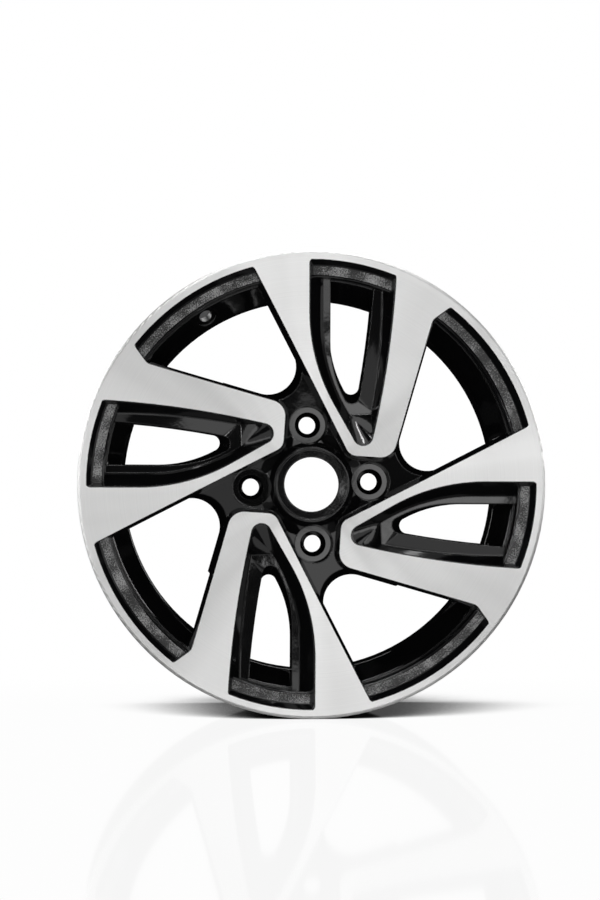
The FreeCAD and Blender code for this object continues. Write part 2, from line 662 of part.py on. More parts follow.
def opening_outline(label, height, shrink, tip_up):
    """Draws the opening through the pocket floor, its sides moved inward by `shrink`."""
    shape = Outline(label, "XZ_Plane", height)
    root = s.pocket_root_angle.value
    root_off = s.pocket_root_offset.value - s.opening_lead_inset.value - shrink.value
    side = s.pocket_side_radius.value - s.opening_side_inset.value - shrink.value
    centre = Vector(s.pocket_side_across.value, s.pocket_side_up.value, 0)
    bend = s.opening_bend_radius.value
    tip = s.opening_tip_radius.value
    end = s.pocket_end_radius.value
    edge = s.pocket_corner.value

    up = tip_up.value
    c_tip = Vector(centre.x + math.sqrt((side - tip) ** 2 - (up - centre.y) ** 2), up, 0)
    base = along(root, root_off - bend)
    climb = along(root - 90, 1)
    lift = climb.dot(c_tip - base)
    gap = (c_tip - base - climb * lift).Length
    c_bend = base + climb * (lift + math.sqrt((bend - tip) ** 2 - gap ** 2))
    c_left = on_circle(root, root_off - edge, end - edge, False)
    reach = centre.Length
    toward = (reach ** 2 + (end - edge) ** 2 - (side - edge) ** 2) / (2 * reach)
    across = math.sqrt((end - edge) ** 2 - toward ** 2)
    unit = centre * (1 / reach)
    c_right = unit * toward + Vector(unit.y, -unit.x, 0) * across
    bend_low = c_bend + (c_tip - c_bend).normalize() * bend
    bend_high = c_bend + along(root, bend)
    left_low = c_left + along(root, edge)
    left_high = c_left * (end / (end - edge))
    right_high = c_right * (end / (end - edge))
    right_low = centre + (c_right - centre).normalize() * side
    tip_right = centre + (c_tip - centre).normalize() * side

    arc_tip = shape.arc(c_tip, bend_low, tip_right, True)
    arc_side = shape.arc(centre, tip_right, right_low, True)
    arc_right = shape.arc(c_right, right_low, right_high, True)
    arc_end = shape.arc(Vector(0, 0, 0), right_high, left_high, True)
    arc_left = shape.arc(c_left, left_high, left_low, True)
    line_root = shape.line(left_low, bend_high)
    arc_bend = shape.arc(c_bend, bend_high, bend_low, True)
    shape.close(["Tangent"] * 7)
    shape.radius(arc_tip, s.opening_tip_radius)
    shape.tie(Sketcher.Constraint("DistanceY", -1, 1, arc_tip, 3, up), tip_up)
    shape.radius(arc_side, s.pocket_side_radius - s.opening_side_inset - shrink)
    shape.at(arc_side, 3, s.pocket_side_across, s.pocket_side_up)
    shape.radius(arc_right, s.pocket_corner)
    shape.radius(arc_left, s.pocket_corner)
    shape.radius(arc_end, s.pocket_end_radius)
    shape.centred(arc_end)
    shape.radius(arc_bend, s.opening_bend_radius)
    shape.heading(line_root, s.pocket_root_angle + 90)
    shape.offset(line_root, s.opening_lead_inset + shrink - s.pocket_root_offset)
    return shape.sketch


opening_back = spoke_back + 1
opening_run = opening_back - ledge
opening_top = opening_outline("opening_top", -ledge, none, s.opening_tip_up)
opening_rear = opening_outline(
    "opening_rear", -opening_back, opening_run * s.opening_draft.tan(),
    s.opening_tip_up + s.opening_tip_run
)
opening = body.newObject("PartDesign::SubtractiveLoft", "opening")
opening.Profile = opening_top
opening.Sections = [opening_rear]
opening.Ruled = True
doc.recompute()


def slope_outline(label, height, outer, outer_foot, inner_foot):
    """Draws the strip of pocket floor that falls toward the opening, from its edge `outer`."""
    shape = Outline(label, "XZ_Plane", height)
    inner = SimpleNamespace(
        side=s.pocket_side_radius - s.opening_side_inset - s.slope_lap,
        across=s.pocket_side_across,
        up=s.pocket_side_up,
    )

    def spot(arc, up):
        run = math.sqrt(arc.side.value ** 2 - (up.value - arc.up.value) ** 2)
        return Vector(arc.across.value + run, up.value, 0)

    def middle(arc):
        return Vector(arc.across.value, arc.up.value, 0)

    head = s.ledge_inner_radius - s.ledge_drop
    arc_outer = shape.arc(middle(outer), spot(outer, outer_foot), spot(outer, head), True)
    line_head = shape.line(spot(outer, head), spot(inner, head))
    arc_inner = shape.arc(middle(inner), spot(inner, head), spot(inner, inner_foot), False)
    line_foot = shape.line(spot(inner, inner_foot), spot(outer, outer_foot))
    shape.close(["Coincident"] * 4)
    for arc, plan in ((arc_outer, outer), (arc_inner, inner)):
        shape.radius(arc, plan.side)
        shape.at(arc, 3, plan.across, plan.up)
    shape.sketch.addConstraint(Sketcher.Constraint("Horizontal", line_head))
    for edge, point, up in ((line_head, 1, head), (line_foot, 1, inner_foot), (line_foot, 2, outer_foot)):
        shape.tie(Sketcher.Constraint("DistanceY", -1, 1, edge, point, up.value), up)
    return shape.sketch


slope_top = slope_outline(
    "slope_top", -ledge,
    SimpleNamespace(
        side=s.floor_side_radius - s.slope_margin, across=s.floor_side_across, up=s.floor_side_up
    ),
    s.slope_foot, s.opening_tip_up - s.opening_tip_radius / 2
)
slope_low = slope_outline(
    "slope_low", -(ledge + s.slope_fall),
    SimpleNamespace(
        side=s.pocket_side_radius - s.opening_side_inset - s.slope_lap / 3,
        across=s.pocket_side_across, up=s.pocket_side_up
    ),
    s.opening_tip_up, s.opening_tip_up
)
floor_slope = body.newObject("PartDesign::SubtractiveLoft", "floor_slope")
floor_slope.Profile = slope_top
floor_slope.Sections = [slope_low]
floor_slope.Ruled = True
doc.recompute()
repeat([pocket_lip, pocket_wall, opening, floor_slope], "pockets")

# Rim: one section from the front lip round the tyre side to the rear lip and back inside,
# with stock on the front lip for turning.
flange = s.bead_seat_radius + s.flange_height
seat_fall = (s.bead_seat_length - s.bead_foot_radius) * s.bead_seat_angle.tan()
seat_end = s.bead_seat_radius - seat_fall
hump = seat_end + s.hump_height
foot = half - s.bead_foot_radius
seat_edge = half - s.bead_seat_length
hump_mid = seat_edge - s.hump_length * 0.6
hump_end = seat_edge - s.hump_length
curl = half + s.flange_curl
ramp_start = drop_end + s.well_length
ramp_end = ramp_start + s.well_ramp_length
well_in = s.well_radius - s.wall
barrel_in = seat_end - s.wall
face = lip + s.ledge_depth
step = lip + s.seat_step_depth
lip_slope = (s.lip_inner_radius - s.ledge_outer_radius) / s.ledge_depth
rim = Outline("rim_section", "XY_Plane").corners([
    (s.lip_inner_radius + lip_slope * s.spoke_front, front),
    (flange, front),
    (flange, -curl),
    (flange - s.flange_curl, -half, s.flange_curl, True),
    (s.bead_seat_radius + s.bead_foot_radius, -half),
    (s.bead_seat_radius, -foot, s.bead_foot_radius, False),
    (seat_end, -seat_edge),
    (hump, -hump_mid),
    (seat_end, drop_start),
    (s.well_radius, drop_end),
    (s.well_radius, ramp_start),
    (s.ramp_end_radius, ramp_end),
    (seat_end, hump_end),
    (hump, hump_mid),
    (seat_end, seat_edge),
    (s.bead_seat_radius, foot),
    (s.bead_seat_radius + s.bead_foot_radius, half, s.bead_foot_radius, False),
    (flange - s.flange_curl, half),
    (flange, curl, s.flange_curl, True),
    (flange, back - s.lip_edge_radius),
    (flange - s.lip_edge_radius, back, s.lip_edge_radius, True),
    (s.back_lip_radius, back),
    (s.back_lip_radius - s.lip_edge_radius * 2, half + s.flange_curl),
    (s.bead_seat_radius - s.wall, foot),
    (barrel_in, hump_end),
    (s.ramp_end_radius - s.wall, ramp_end + s.wall / 4),
    (well_in, ramp_start + s.wall / 4),
    (well_in, drop_end - s.slope_wall),
    (s.seat_inner_radius, drop_start - s.slope_wall),
    (s.seat_inner_radius, step),
    (s.seat_inner_radius + 1, step),
    (s.ledge_inner_radius, face + s.ledge_edge_radius),
    (s.ledge_inner_radius + s.ledge_edge_radius, face, s.ledge_edge_radius, False),
    (s.ledge_outer_radius, face),
])
revolve(rim, "rim", "PartDesign::Revolution")

# The turned face: a shallow crown over the spokes, a flat lip and its rounded outer edge,
# drawn in the plane of a window so that the seam of the cut crosses no spoke.
peak = lip - s.crown_height
crown_end = cast_lip + s.lip_overlap
crown = Outline("face_section", "XY_Plane")
window = math.degrees(math.atan2(s.throat_up.value, s.throat_across.value))
crown.sketch.AttachmentOffset = FreeCAD.Placement(
    Vector(0, 0, 0), FreeCAD.Rotation(Vector(0, 1, 0), -window)
)
rise = (crown_end - s.crown_peak_radius).value
sag = s.crown_height.value
sweep = (rise ** 2 + sag ** 2) / (2 * sag)
c_crown = Vector(s.crown_peak_radius.value, peak.value + sweep, 0)
inner_r = s.cap_clip_radius.value
inner_y = c_crown.y - math.sqrt(sweep ** 2 - (inner_r - c_crown.x) ** 2)
edge_r = s.lip_edge_radius.value
run_out = flange + s.lip_edge_run
out_r = run_out.value
p_in = Vector(inner_r, inner_y, 0)
p_lip = Vector(crown_end.value, lip.value, 0)
p_round = Vector(out_r - edge_r, lip.value, 0)
p_side = Vector(out_r, lip.value + edge_r, 0)
p_off = Vector(out_r + 6, lip.value + edge_r, 0)
p_far = Vector(out_r + 6, front.value - 8, 0)
p_near = Vector(inner_r, front.value - 8, 0)
arc_face = crown.arc(c_crown, p_in, p_lip, True)
flat_lip = crown.line(p_lip, p_round)
round_lip = crown.arc(Vector(p_round.x, p_side.y, 0), p_round, p_side, True)
step_off = crown.line(p_side, p_off)
line_side = crown.line(p_off, p_far)
line_far = crown.line(p_far, p_near)
line_near = crown.line(p_near, p_in)
crown.close(["Coincident"] * 7)
crown.at(flat_lip, 1, crown_end, lip)
crown.at(flat_lip, 2, run_out - s.lip_edge_radius, lip)
crown.radius(round_lip, s.lip_edge_radius)
crown.at(step_off, 1, run_out, lip + s.lip_edge_radius)
crown.at(step_off, 2, run_out + 6, lip + s.lip_edge_radius)
crown.at(line_far, 1, run_out + 6, front - 8)
crown.at(line_far, 2, s.cap_clip_radius, front - 8)
crown.sketch.addConstraint(Sketcher.Constraint("Vertical", line_near))
crown.tie(Sketcher.Constraint("DistanceX", -1, 1, arc_face, 3, c_crown.x), s.crown_peak_radius)
run = crown_end - s.crown_peak_radius
crown.radius(arc_face, (run * run + s.crown_height * s.crown_height) / (s.crown_height * 2))
revolve(crown.sketch, "turned_face", "PartDesign::Groove")

# Lug pockets: drafted wall, flat seat, cone and clearance hole, all about one lug axis.
lug_floor = lip + s.lug_seat_depth
cone_foot = lug_floor + (s.lug_cone_radius - s.lug_hole_radius) / s.lug_cone_angle.tan()
lug_top = s.lug_seat_radius + (lug_floor - front) * s.lug_draft.tan()
axis_x = s.lug_circle_radius
lug_shape = Outline("lug_section", "XY_Plane")
lug_sketch = lug_shape.corners([
    (axis_x, front),
    (axis_x, pad_face + 4),
    (axis_x + s.lug_hole_radius, pad_face + 4),
    (axis_x + s.lug_hole_radius, cone_foot),
    (axis_x + s.lug_cone_radius, lug_floor),
    (axis_x + s.lug_seat_radius, lug_floor),
    (axis_x + lug_top, front),
])
low = Vector(axis_x.value, front.value, 0)
high = Vector(axis_x.value, pad_face.value + 4, 0)
spin = lug_sketch.addGeometry(Part.LineSegment(low, high), True)
lug_sketch.addConstraint(Sketcher.Constraint("Coincident", spin, 1, lug_shape.edges[0][0], 1))
lug_sketch.addConstraint(Sketcher.Constraint("Coincident", spin, 2, lug_shape.edges[0][0], 2))
lug = body.newObject("PartDesign::Groove", "lug_hole")
lug.Profile = lug_sketch
lug.ReferenceAxis = (lug_sketch, ["Axis0"])
lug.Angle = 360
doc.recompute()
repeat([lug], "lug_holes")


def relief_outline():
    """Draws one relief between two lugs on the back of the mounting pad."""
    shape = Outline("relief_plan", "XZ_Plane", -pad_face)
    near = s.relief_inner_radius.value
    far = s.relief_outer_radius.value
    open_by = s.relief_half_angle.value
    middle = 180 / s.lug_count.value
    a = along(middle - open_by, near)
    b = along(middle - open_by, far)
    c = along(middle + open_by, far)
    d = along(middle + open_by, near)
    zero = Vector(0, 0, 0)
    lower = shape.line(a, b)
    outer = shape.arc(zero, b, c, True)
    upper = shape.line(c, d)
    inner = shape.arc(zero, d, a, False)
    shape.close(["Coincident"] * 4)
    shape.centred(outer)
    shape.centred(inner)
    shape.radius(outer, s.relief_outer_radius)
    shape.radius(inner, s.relief_inner_radius)
    for edge in (lower, upper):
        shape.sketch.addConstraint(Sketcher.Constraint("PointOnObject", -1, 1, edge))
    shape.heading(lower, Size.of(180) / s.lug_count - s.relief_half_angle)
    shape.heading(upper, Size.of(180) / s.lug_count + s.relief_half_angle + 180)
    return shape.sketch


relief = body.newObject("PartDesign::Pocket", "pad_relief")
relief.Profile = relief_outline()
relief.Reversed = True
relief.setExpression("Length", s.relief_depth.text)
relief.setExpression("TaperAngle", "-6")
doc.recompute()
repeat([relief], "pad_reliefs")


def hollow_outline(label, sides):
    """Draws a four-sided hollow with round corners, each side given by normal, offset and sense."""
    shape = Outline(label, "XZ_Plane", -spoke_back)
    corner = s.back_corner.value
    centres = []
    for i in range(4):
        angle_a, off_a, out_a = sides[i]
        angle_b, off_b, out_b = sides[(i + 1) % 4]
        centres.append(meet(
            angle_a.value, off_a.value - out_a * corner,
            angle_b.value, off_b.value - out_b * corner,
        ))
    lines = []
    arcs = []
    for i in range(4):
        angle_a, _, out_a = sides[i]
        angle_b, _, out_b = sides[(i + 1) % 4]
        p = centres[i - 1] + along(angle_a.value, out_a * corner)
        q = centres[i] + along(angle_a.value, out_a * corner)
        lines.append(shape.line(p, q))
        arcs.append(shape.arc(centres[i], q, centres[i] + along(angle_b.value, out_b * corner), True))
    shape.close(["Tangent"] * 8)
    for i in range(4):
        angle, off, out = sides[i]
        shape.offset(lines[i], off)
        shape.heading(lines[i], angle + 90 * out)
        shape.radius(arcs[i], s.back_corner)
    return shape.sketch


# Hollows in the spoke backs: one behind the wide limb and one behind the narrow limb.
hollows = []
for label, sides in (
    ("wide_hollow", [
        (s.wide_foot_angle, s.wide_foot_offset, -1),
        (s.trail_edge_angle, s.trail_edge_offset + rear_grow - s.back_rib, 1),
        (s.wide_head_angle, s.wide_head_offset, 1),
        (s.wide_inner_angle, s.wide_inner_offset + s.back_rib, -1),
    ]),
    ("narrow_hollow", [
        (s.narrow_foot_angle, s.narrow_foot_offset, -1),
        (s.narrow_inner_angle, s.narrow_inner_offset - s.back_rib, 1),
        (s.narrow_head_angle, s.narrow_head_offset, 1),
        (s.lead_edge_angle, s.lead_edge_offset - rear_grow + s.back_rib, -1),
    ]),
):
    hollow = body.newObject("PartDesign::Pocket", label)
    hollow.Profile = hollow_outline(f"{label}_plan", sides)
    hollow.Reversed = True
    hollow.setExpression("Length", s.back_depth.text)
    hollow.setExpression("TaperAngle", (-s.back_draft).text)
    doc.recompute()
    body.Tip = hollow
    hollows.append(hollow)
repeat(hollows, "hollows")

# Valve hole, square to the front slope of the drop well, with a flat round it.
clock = s.valve_clock.value
centre = along(clock, s.valve_circle_radius.value)
spot = Vector(centre.x, (lip + s.valve_depth).value, centre.y)
tilt = math.radians(s.valve_tilt.value)
outward = along(clock, 1)
aim = Vector(outward.x * math.sin(tilt), math.cos(tilt), outward.y * math.sin(tilt))
turn = FreeCAD.Rotation(Vector(0, 0, 1), aim)
for name, radius, near, far in (
    ("valve_hole", s.valve_radius, -14.0, 14.0),
    ("valve_seat", s.valve_seat_radius, -14.0, s.valve_seat_sink.value),
):
    sketch = body.newObject("Sketcher::SketchObject", f"{name}_plan")
    sketch.AttachmentSupport = [([f for f in body.Origin.OriginFeatures if f.Role == "XY_Plane"][0], "")]
    sketch.MapMode = "FlatFace"
    sketch.AttachmentOffset = FreeCAD.Placement(spot + aim * near, turn)
    ring_edge = sketch.addGeometry(Part.Circle(Vector(0, 0, 0), Vector(0, 0, 1), radius.value))
    sketch.addConstraint(Sketcher.Constraint("Coincident", ring_edge, 3, -1, 1))
    index = sketch.addConstraint(Sketcher.Constraint("Radius", ring_edge, radius.value))
    sketch.setExpression(f"Constraints[{index}]", radius.text)
    cut = body.newObject("PartDesign::Pocket", name)
    cut.Profile = sketch
    cut.Reversed = True
    cut.Length = far - near
    doc.recompute()
    body.Tip = cut

body.setExpression("Placement.Rotation.Angle", (-s.stance_roll).text + " * 1 deg")
body.Placement = FreeCAD.Placement(
    Vector(0, 0, 0), FreeCAD.Rotation(Vector(0, 1, 0), -s.stance_roll.value)
)
doc.recompute()

for item in doc.Objects:
    state = [word for word in item.State if word in ("Invalid", "Error")]
    if state:
        raise RuntimeError(f"{item.Name}: {state}")
    shape = getattr(item, "Shape", None)
    if item.isDerivedFrom("PartDesign::Feature"):
        print(item.Name, round(shape.Volume), len(shape.Solids), shape.isValid())
result = body.Shape
if result.isNull() or not result.isValid() or len(result.Solids) != 1:
    raise RuntimeError("wheel_rim is not one valid solid")
box = result.optimalBoundingBox(True, False)
if abs(box.YLength - (back - peak).value) > 0.01 or abs(box.XLength - flange.value * 2) > 0.01:
    raise RuntimeError("wheel_rim is not turned to size")
print("wheel_rim", round(result.Volume), [round(v, 2) for v in (box.XLength, box.YLength, box.ZLength)])
result.exportStep(f"parts/{body.Label}.step")
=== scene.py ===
"""Looks of a one-piece cast wheel rim: turned face, gloss paint, grained ledge, pale studio."""

import logging
import math
from dataclasses import dataclass
from enum import Enum

import bpy
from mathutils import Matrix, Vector


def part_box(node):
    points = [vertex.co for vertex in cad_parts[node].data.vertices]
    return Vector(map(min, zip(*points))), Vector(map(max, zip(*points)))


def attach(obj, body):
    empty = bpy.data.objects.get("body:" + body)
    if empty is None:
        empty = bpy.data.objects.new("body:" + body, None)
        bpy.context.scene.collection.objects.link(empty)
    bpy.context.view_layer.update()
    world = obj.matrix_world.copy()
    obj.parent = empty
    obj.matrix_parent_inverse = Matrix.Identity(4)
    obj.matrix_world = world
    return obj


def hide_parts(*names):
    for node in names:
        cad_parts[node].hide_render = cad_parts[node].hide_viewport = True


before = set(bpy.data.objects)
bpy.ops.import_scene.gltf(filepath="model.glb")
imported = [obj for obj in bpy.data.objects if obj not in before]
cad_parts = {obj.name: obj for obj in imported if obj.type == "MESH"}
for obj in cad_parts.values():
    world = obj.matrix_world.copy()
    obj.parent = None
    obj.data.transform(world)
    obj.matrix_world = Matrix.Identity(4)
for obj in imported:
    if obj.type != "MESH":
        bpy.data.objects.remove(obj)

Socket = bpy.types.NodeSocket
Colour = tuple[float, float, float]
Point = tuple[float, float, float]
Pair = tuple[float, float]

LOG = logging.getLogger("wheel_rim")
ACROSS_AXIS: Point = (1.0, 0.0, 1.0)


class Finish(Enum):
    """The finishes on the casting, each with its material slot."""

    TURNED = 0
    PAINT = 1
    LEDGE = 2
    BARREL = 3
    # The lip's rounded edge: the turned metal again, rougher, and darker in colour as painted
    # shade.
    EDGE = 4
    SEAT = 5


class NodeSheet:
    """A material's node tree with short calls to add and join nodes."""

    def __init__(self, name: str) -> None:
        """Starts a material with an empty node tree.

        Args:
            name: The material's name.
        """
        self.material = bpy.data.materials.new(name)
        self.material.use_nodes = True
        self.tree = self.material.node_tree
        self.tree.nodes.clear()
        self.output = self.add("ShaderNodeOutputMaterial")

    def add(self, kind: str, **settings: object) -> bpy.types.Node:
        """Adds a node.

        Args:
            kind: Blender's name of the node's type.
            settings: Values for the node's own properties.

        Returns:
            The new node.
        """
        node = self.tree.nodes.new(kind)
        for key, value in settings.items():
            setattr(node, key, value)
        return node

    def join(self, source: Socket, target: Socket) -> None:
        """Links an output socket to an input socket."""
        self.tree.links.new(source, target)

    def math(self, operation: str, a: object, b: object = 0.0, c: object = 0.0) -> Socket:
        """Adds a Math node.

        Args:
            operation: The node's operation.
            a: First operand, a socket or a number.
            b: Second operand.
            c: Third operand.

        Returns:
            The node's value socket.
        """
        node = self.add("ShaderNodeMath", operation=operation)
        for socket, value in zip(node.inputs, (a, b, c)):
            if isinstance(value, Socket):
                self.join(value, socket)
            else:
                socket.default_value = float(value)
        return node.outputs[0]

    def place(self) -> Socket:
        """Returns the point on the part, in metres."""
        return self.add("ShaderNodeTexCoord").outputs["Object"]

    def across(self, operation: str, place: Socket) -> bpy.types.Node:
        """Works on the line from the spin axis to a point, square to the axis.

        Args:
            operation: What is done with that line.
            place: The point.

        Returns:
            The Vector Math node.
        """
        flat = self.add("ShaderNodeVectorMath", operation="MULTIPLY")
        self.join(place, flat.inputs[0])
        flat.inputs[1].default_value = ACROSS_AXIS
        node = self.add("ShaderNodeVectorMath", operation=operation)
        self.join(flat.outputs[0], node.inputs[0])
        return node

    def radius(self, place: Socket) -> Socket:
        """Returns a point's distance from the spin axis, in metres."""
        return self.across("LENGTH", place).outputs["Value"]

    def heading(self, place: Socket) -> Socket:
        """Returns the direction from the spin axis to a point, as a unit vector."""
        return self.across("NORMALIZE", place).outputs[0]

    def noise(self, vector: Socket, scale: float, detail: float,
              roughness: float = 0.5) -> Socket:
        """Adds a noise texture.

        Args:
            vector: Where it is read.
            scale: Cells in a unit of the vector.
            detail: Octaves.
            roughness: Share of each finer octave.

        Returns:
            The noise value, from 0 to 1.
        """
        node = self.add("ShaderNodeTexNoise")
        self.join(vector, node.inputs["Vector"])
        node.inputs["Scale"].default_value = scale
        node.inputs["Detail"].default_value = detail
        node.inputs["Roughness"].default_value = roughness
        return node.outputs[0]

    def span(self, value: Socket, low: float, high: float,
             start: float = 0.3, stop: float = 0.7, smooth: bool = False) -> Socket:
        """Maps a value onto a range.

        Args:
            value: What is mapped.
            low: Result at start.
            high: Result at stop.
            start: Where the range begins.
            stop: Where the range ends.
            smooth: Whether it eases in and out.

        Returns:
            The mapped value.
        """
        course = "SMOOTHSTEP" if smooth else "LINEAR"
        node = self.add("ShaderNodeMapRange", clamp=True, interpolation_type=course)
        self.join(value, node.inputs["Value"])
        node.inputs["From Min"].default_value = start
        node.inputs["From Max"].default_value = stop
        node.inputs["To Min"].default_value = low
        node.inputs["To Max"].default_value = high
        return node.outputs[0]

    def blend(self, share: Socket, low: Colour | Socket, high: Colour) -> Socket:
        """Mixes two colours.

        Args:
            share: How much of the second colour.
            low: First colour, or a socket that gives it.
            high: Second colour.

        Returns:
            The mixed colour.
        """
        node = self.add("ShaderNodeMix", data_type="RGBA")
        self.join(share, node.inputs["Factor"])
        first, second = [socket for socket in node.inputs if socket.type == "RGBA"]
        second.default_value = (*high, 1.0)
        if isinstance(low, Socket):
            self.join(low, first)
        else:
            first.default_value = (*low, 1.0)
        return [socket for socket in node.outputs if socket.type == "RGBA"][0]

    def relief(self, height: Socket, depth: float, strength: float,
               normal: Socket | None = None) -> Socket:
        """Adds a bump.

        Args:
            height: The relief, from 0 to 1.
            depth: Its full height, in metres.
            strength: Share of it that shows.
            normal: The normal it starts from.

        Returns:
            The bumped normal.
        """
        node = self.add("ShaderNodeBump")
        node.inputs["Strength"].default_value = strength
        node.inputs["Distance"].default_value = depth
        self.join(height, node.inputs["Height"])
        if normal is not None:
            self.join(normal, node.inputs["Normal"])
        return node.outputs[0]

    def round_edge(self, radius: float) -> Socket:
        """Returns a normal that rounds the edges by a radius, in metres."""
        node = self.add("ShaderNodeBevel", samples=6)
        node.inputs["Radius"].default_value = radius
        return node.outputs[0]

    def surface(self, **values: object) -> bpy.types.Node:
        """Adds the Principled shader and ends the tree with it.

        Args:
            values: Constant values by socket name, with _ for a space.

        Returns:
            The shader node.
        """
        node = self.add("ShaderNodeBsdfPrincipled")
        for key, value in values.items():
            node.inputs[key.replace("_", " ")].default_value = value
        self.join(node.outputs[0], self.output.inputs["Surface"])
        return node


@dataclass(frozen=True)
class TurnedFace:
    """Bare metal, turned on a lathe and lacquered: fine rings, broad rays of painted sheen in its
    colour, and a line of paint at each edge.
    """

    name: str = "turned_face"
    colour: Colour = (0.91, 0.91, 0.905)
    # The darker end of the colour's range, for the fine rings and for the painted shade between the
    # sheen's rays.
    dark_end: Colour = (0.76, 0.76, 0.755)
    roughness: Pair = (0.38, 0.48)
    cloud_scale: float = 9.0
    coat: float = 0.25
    coat_roughness: float = 0.06
    stretch: float = 0.7
    stretch_turn: float = 0.25
    streak_scale: float = 900.0
    streak_share: float = 0.25
    # Broad rays around the spin axis, painted into the colour as sheen: painted highlights and
    # painted shade across the face.
    sheen_scale: float = 3.2
    sheen_share: float = 0.75
    tone: Pair = (0.34, 0.66)
    pitch: float = 0.00032
    groove: float = 0.0000012
    groove_strength: float = 0.5
    border: float = 0.0011
    border_turn: Pair = (0.86, 0.97)
    paint: Colour = (0.004, 0.004, 0.004)

    def make(self) -> bpy.types.Material:
        """Returns the material."""
        sheet = NodeSheet(self.name)
        place = sheet.place()
        radius = sheet.radius(place)
        shader = sheet.surface(
            Metallic=1.0, Coat_Weight=self.coat, Coat_Roughness=self.coat_roughness,
            Anisotropic=self.stretch, Anisotropic_Rotation=self.stretch_turn)
        metal = self.rings_and_painted_sheen(sheet, place, radius)
        sheet.join(self.edged(sheet, metal, shader), shader.inputs["Base Color"])
        cloud = sheet.noise(place, self.cloud_scale, detail=3.0)
        sheet.join(sheet.span(cloud, *self.roughness), shader.inputs["Roughness"])
        wave = sheet.math("SINE", sheet.math("MULTIPLY", radius, 2 * math.pi / self.pitch))
        sheet.join(sheet.relief(wave, self.groove, self.groove_strength), shader.inputs["Normal"])
        tangent = sheet.add("ShaderNodeTangent", direction_type="RADIAL", axis="Y")
        sheet.join(tangent.outputs[0], shader.inputs["Tangent"])
        return sheet.material

    def rings_and_painted_sheen(self, sheet: NodeSheet, place: Socket, radius: Socket) -> Socket:
        """Varies the metal's colour in fine rings, which are its own, and in broad rays around the
        spin axis, which are painted sheen: painted highlights and painted shade.

        Args:
            sheet: The face's node tree.
            place: The point on the part.
            radius: Its distance from the spin axis.

        Returns:
            The bare metal's colour, with the painted sheen in it.
        """
        rings = sheet.add("ShaderNodeCombineXYZ")
        sheet.join(radius, rings.inputs[0])
        streak = sheet.noise(rings.outputs[0], self.streak_scale, detail=3.0)
        # Painted sheen: broad rays of lighter and darker colour around the spin axis.
        sheen_noise = sheet.noise(sheet.heading(place), self.sheen_scale, detail=2.0)
        rays = sheet.math("MULTIPLY", sheen_noise, self.sheen_share)
        tone = sheet.math("MULTIPLY_ADD", streak, self.streak_share, rays)
        return sheet.blend(sheet.span(tone, 0.0, 1.0, *self.tone), self.dark_end, self.colour)

    def edged(self, sheet: NodeSheet, metal: Socket, shader: bpy.types.Node) -> Socket:
        """Lays a line of black paint over the metal along each sharp edge.

        Args:
            sheet: The face's node tree.
            metal: The bare metal's colour, with its painted sheen.
            shader: The face's shader, which stops being metal under the paint.

        Returns:
            The colour of metal and paint.
        """
        if not self.border:
            return metal
        turn = sheet.add("ShaderNodeVectorMath", operation="DOT_PRODUCT")
        sheet.join(sheet.round_edge(self.border), turn.inputs[0])
        sheet.join(sheet.add("ShaderNodeNewGeometry").outputs["Normal"], turn.inputs[1])
        bare = sheet.span(turn.outputs["Value"], 0.0, 1.0, *self.border_turn)
        sheet.join(bare, shader.inputs["Metallic"])
        return sheet.blend(sheet.math("SUBTRACT", 1.0, bare), metal, self.paint)


@dataclass(frozen=True)
class GlossPaint:
    """Black paint under lacquer over a cast skin: a soft ripple, and a fine peel in the gloss."""

    name: str = "gloss_paint"
    colour: Colour = (0.0020, 0.0020, 0.0022)
    roughness: Pair = (0.12, 0.22)
    cloud_scale: float = 40.0
    coat: float = 1.0
    coat_roughness: float = 0.06
    shine: float = 0.0
    peel: float = 0.00008
    peel_strength: float = 0.6
    fine_scale: float = 420.0
    fine_share: float = 0.25
    broad_scale: float = 60.0
    wave: float = 0.00035
    wave_scale: float = 30.0
    wave_strength: float = 1.0
    edge: float = 0.0014

    def make(self) -> bpy.types.Material:
        """Returns the material."""
        sheet = NodeSheet(self.name)
        place = sheet.place()
        shader = sheet.surface(
            Base_Color=(*self.colour, 1.0), Coat_Weight=self.coat,
            Coat_Roughness=self.coat_roughness, Specular_IOR_Level=self.shine)
        cloud = sheet.noise(place, self.cloud_scale, detail=3.0)
        sheet.join(sheet.span(cloud, *self.roughness), shader.inputs["Roughness"])
        fine = sheet.noise(place, self.fine_scale, detail=1.0)
        broad = sheet.noise(place, self.broad_scale, detail=2.0)
        ripple = sheet.math("MULTIPLY_ADD", fine, self.fine_share, broad)
        rolling = sheet.noise(place, self.wave_scale, detail=1.0)
        rounded = sheet.round_edge(self.edge)
        swell = sheet.relief(rolling, self.wave, self.wave_strength, rounded)
        normal = sheet.relief(ripple, self.peel, self.peel_strength, swell)
        sheet.join(normal, shader.inputs["Normal"])
        sheet.join(normal, shader.inputs["Coat Normal"])
        return sheet.material


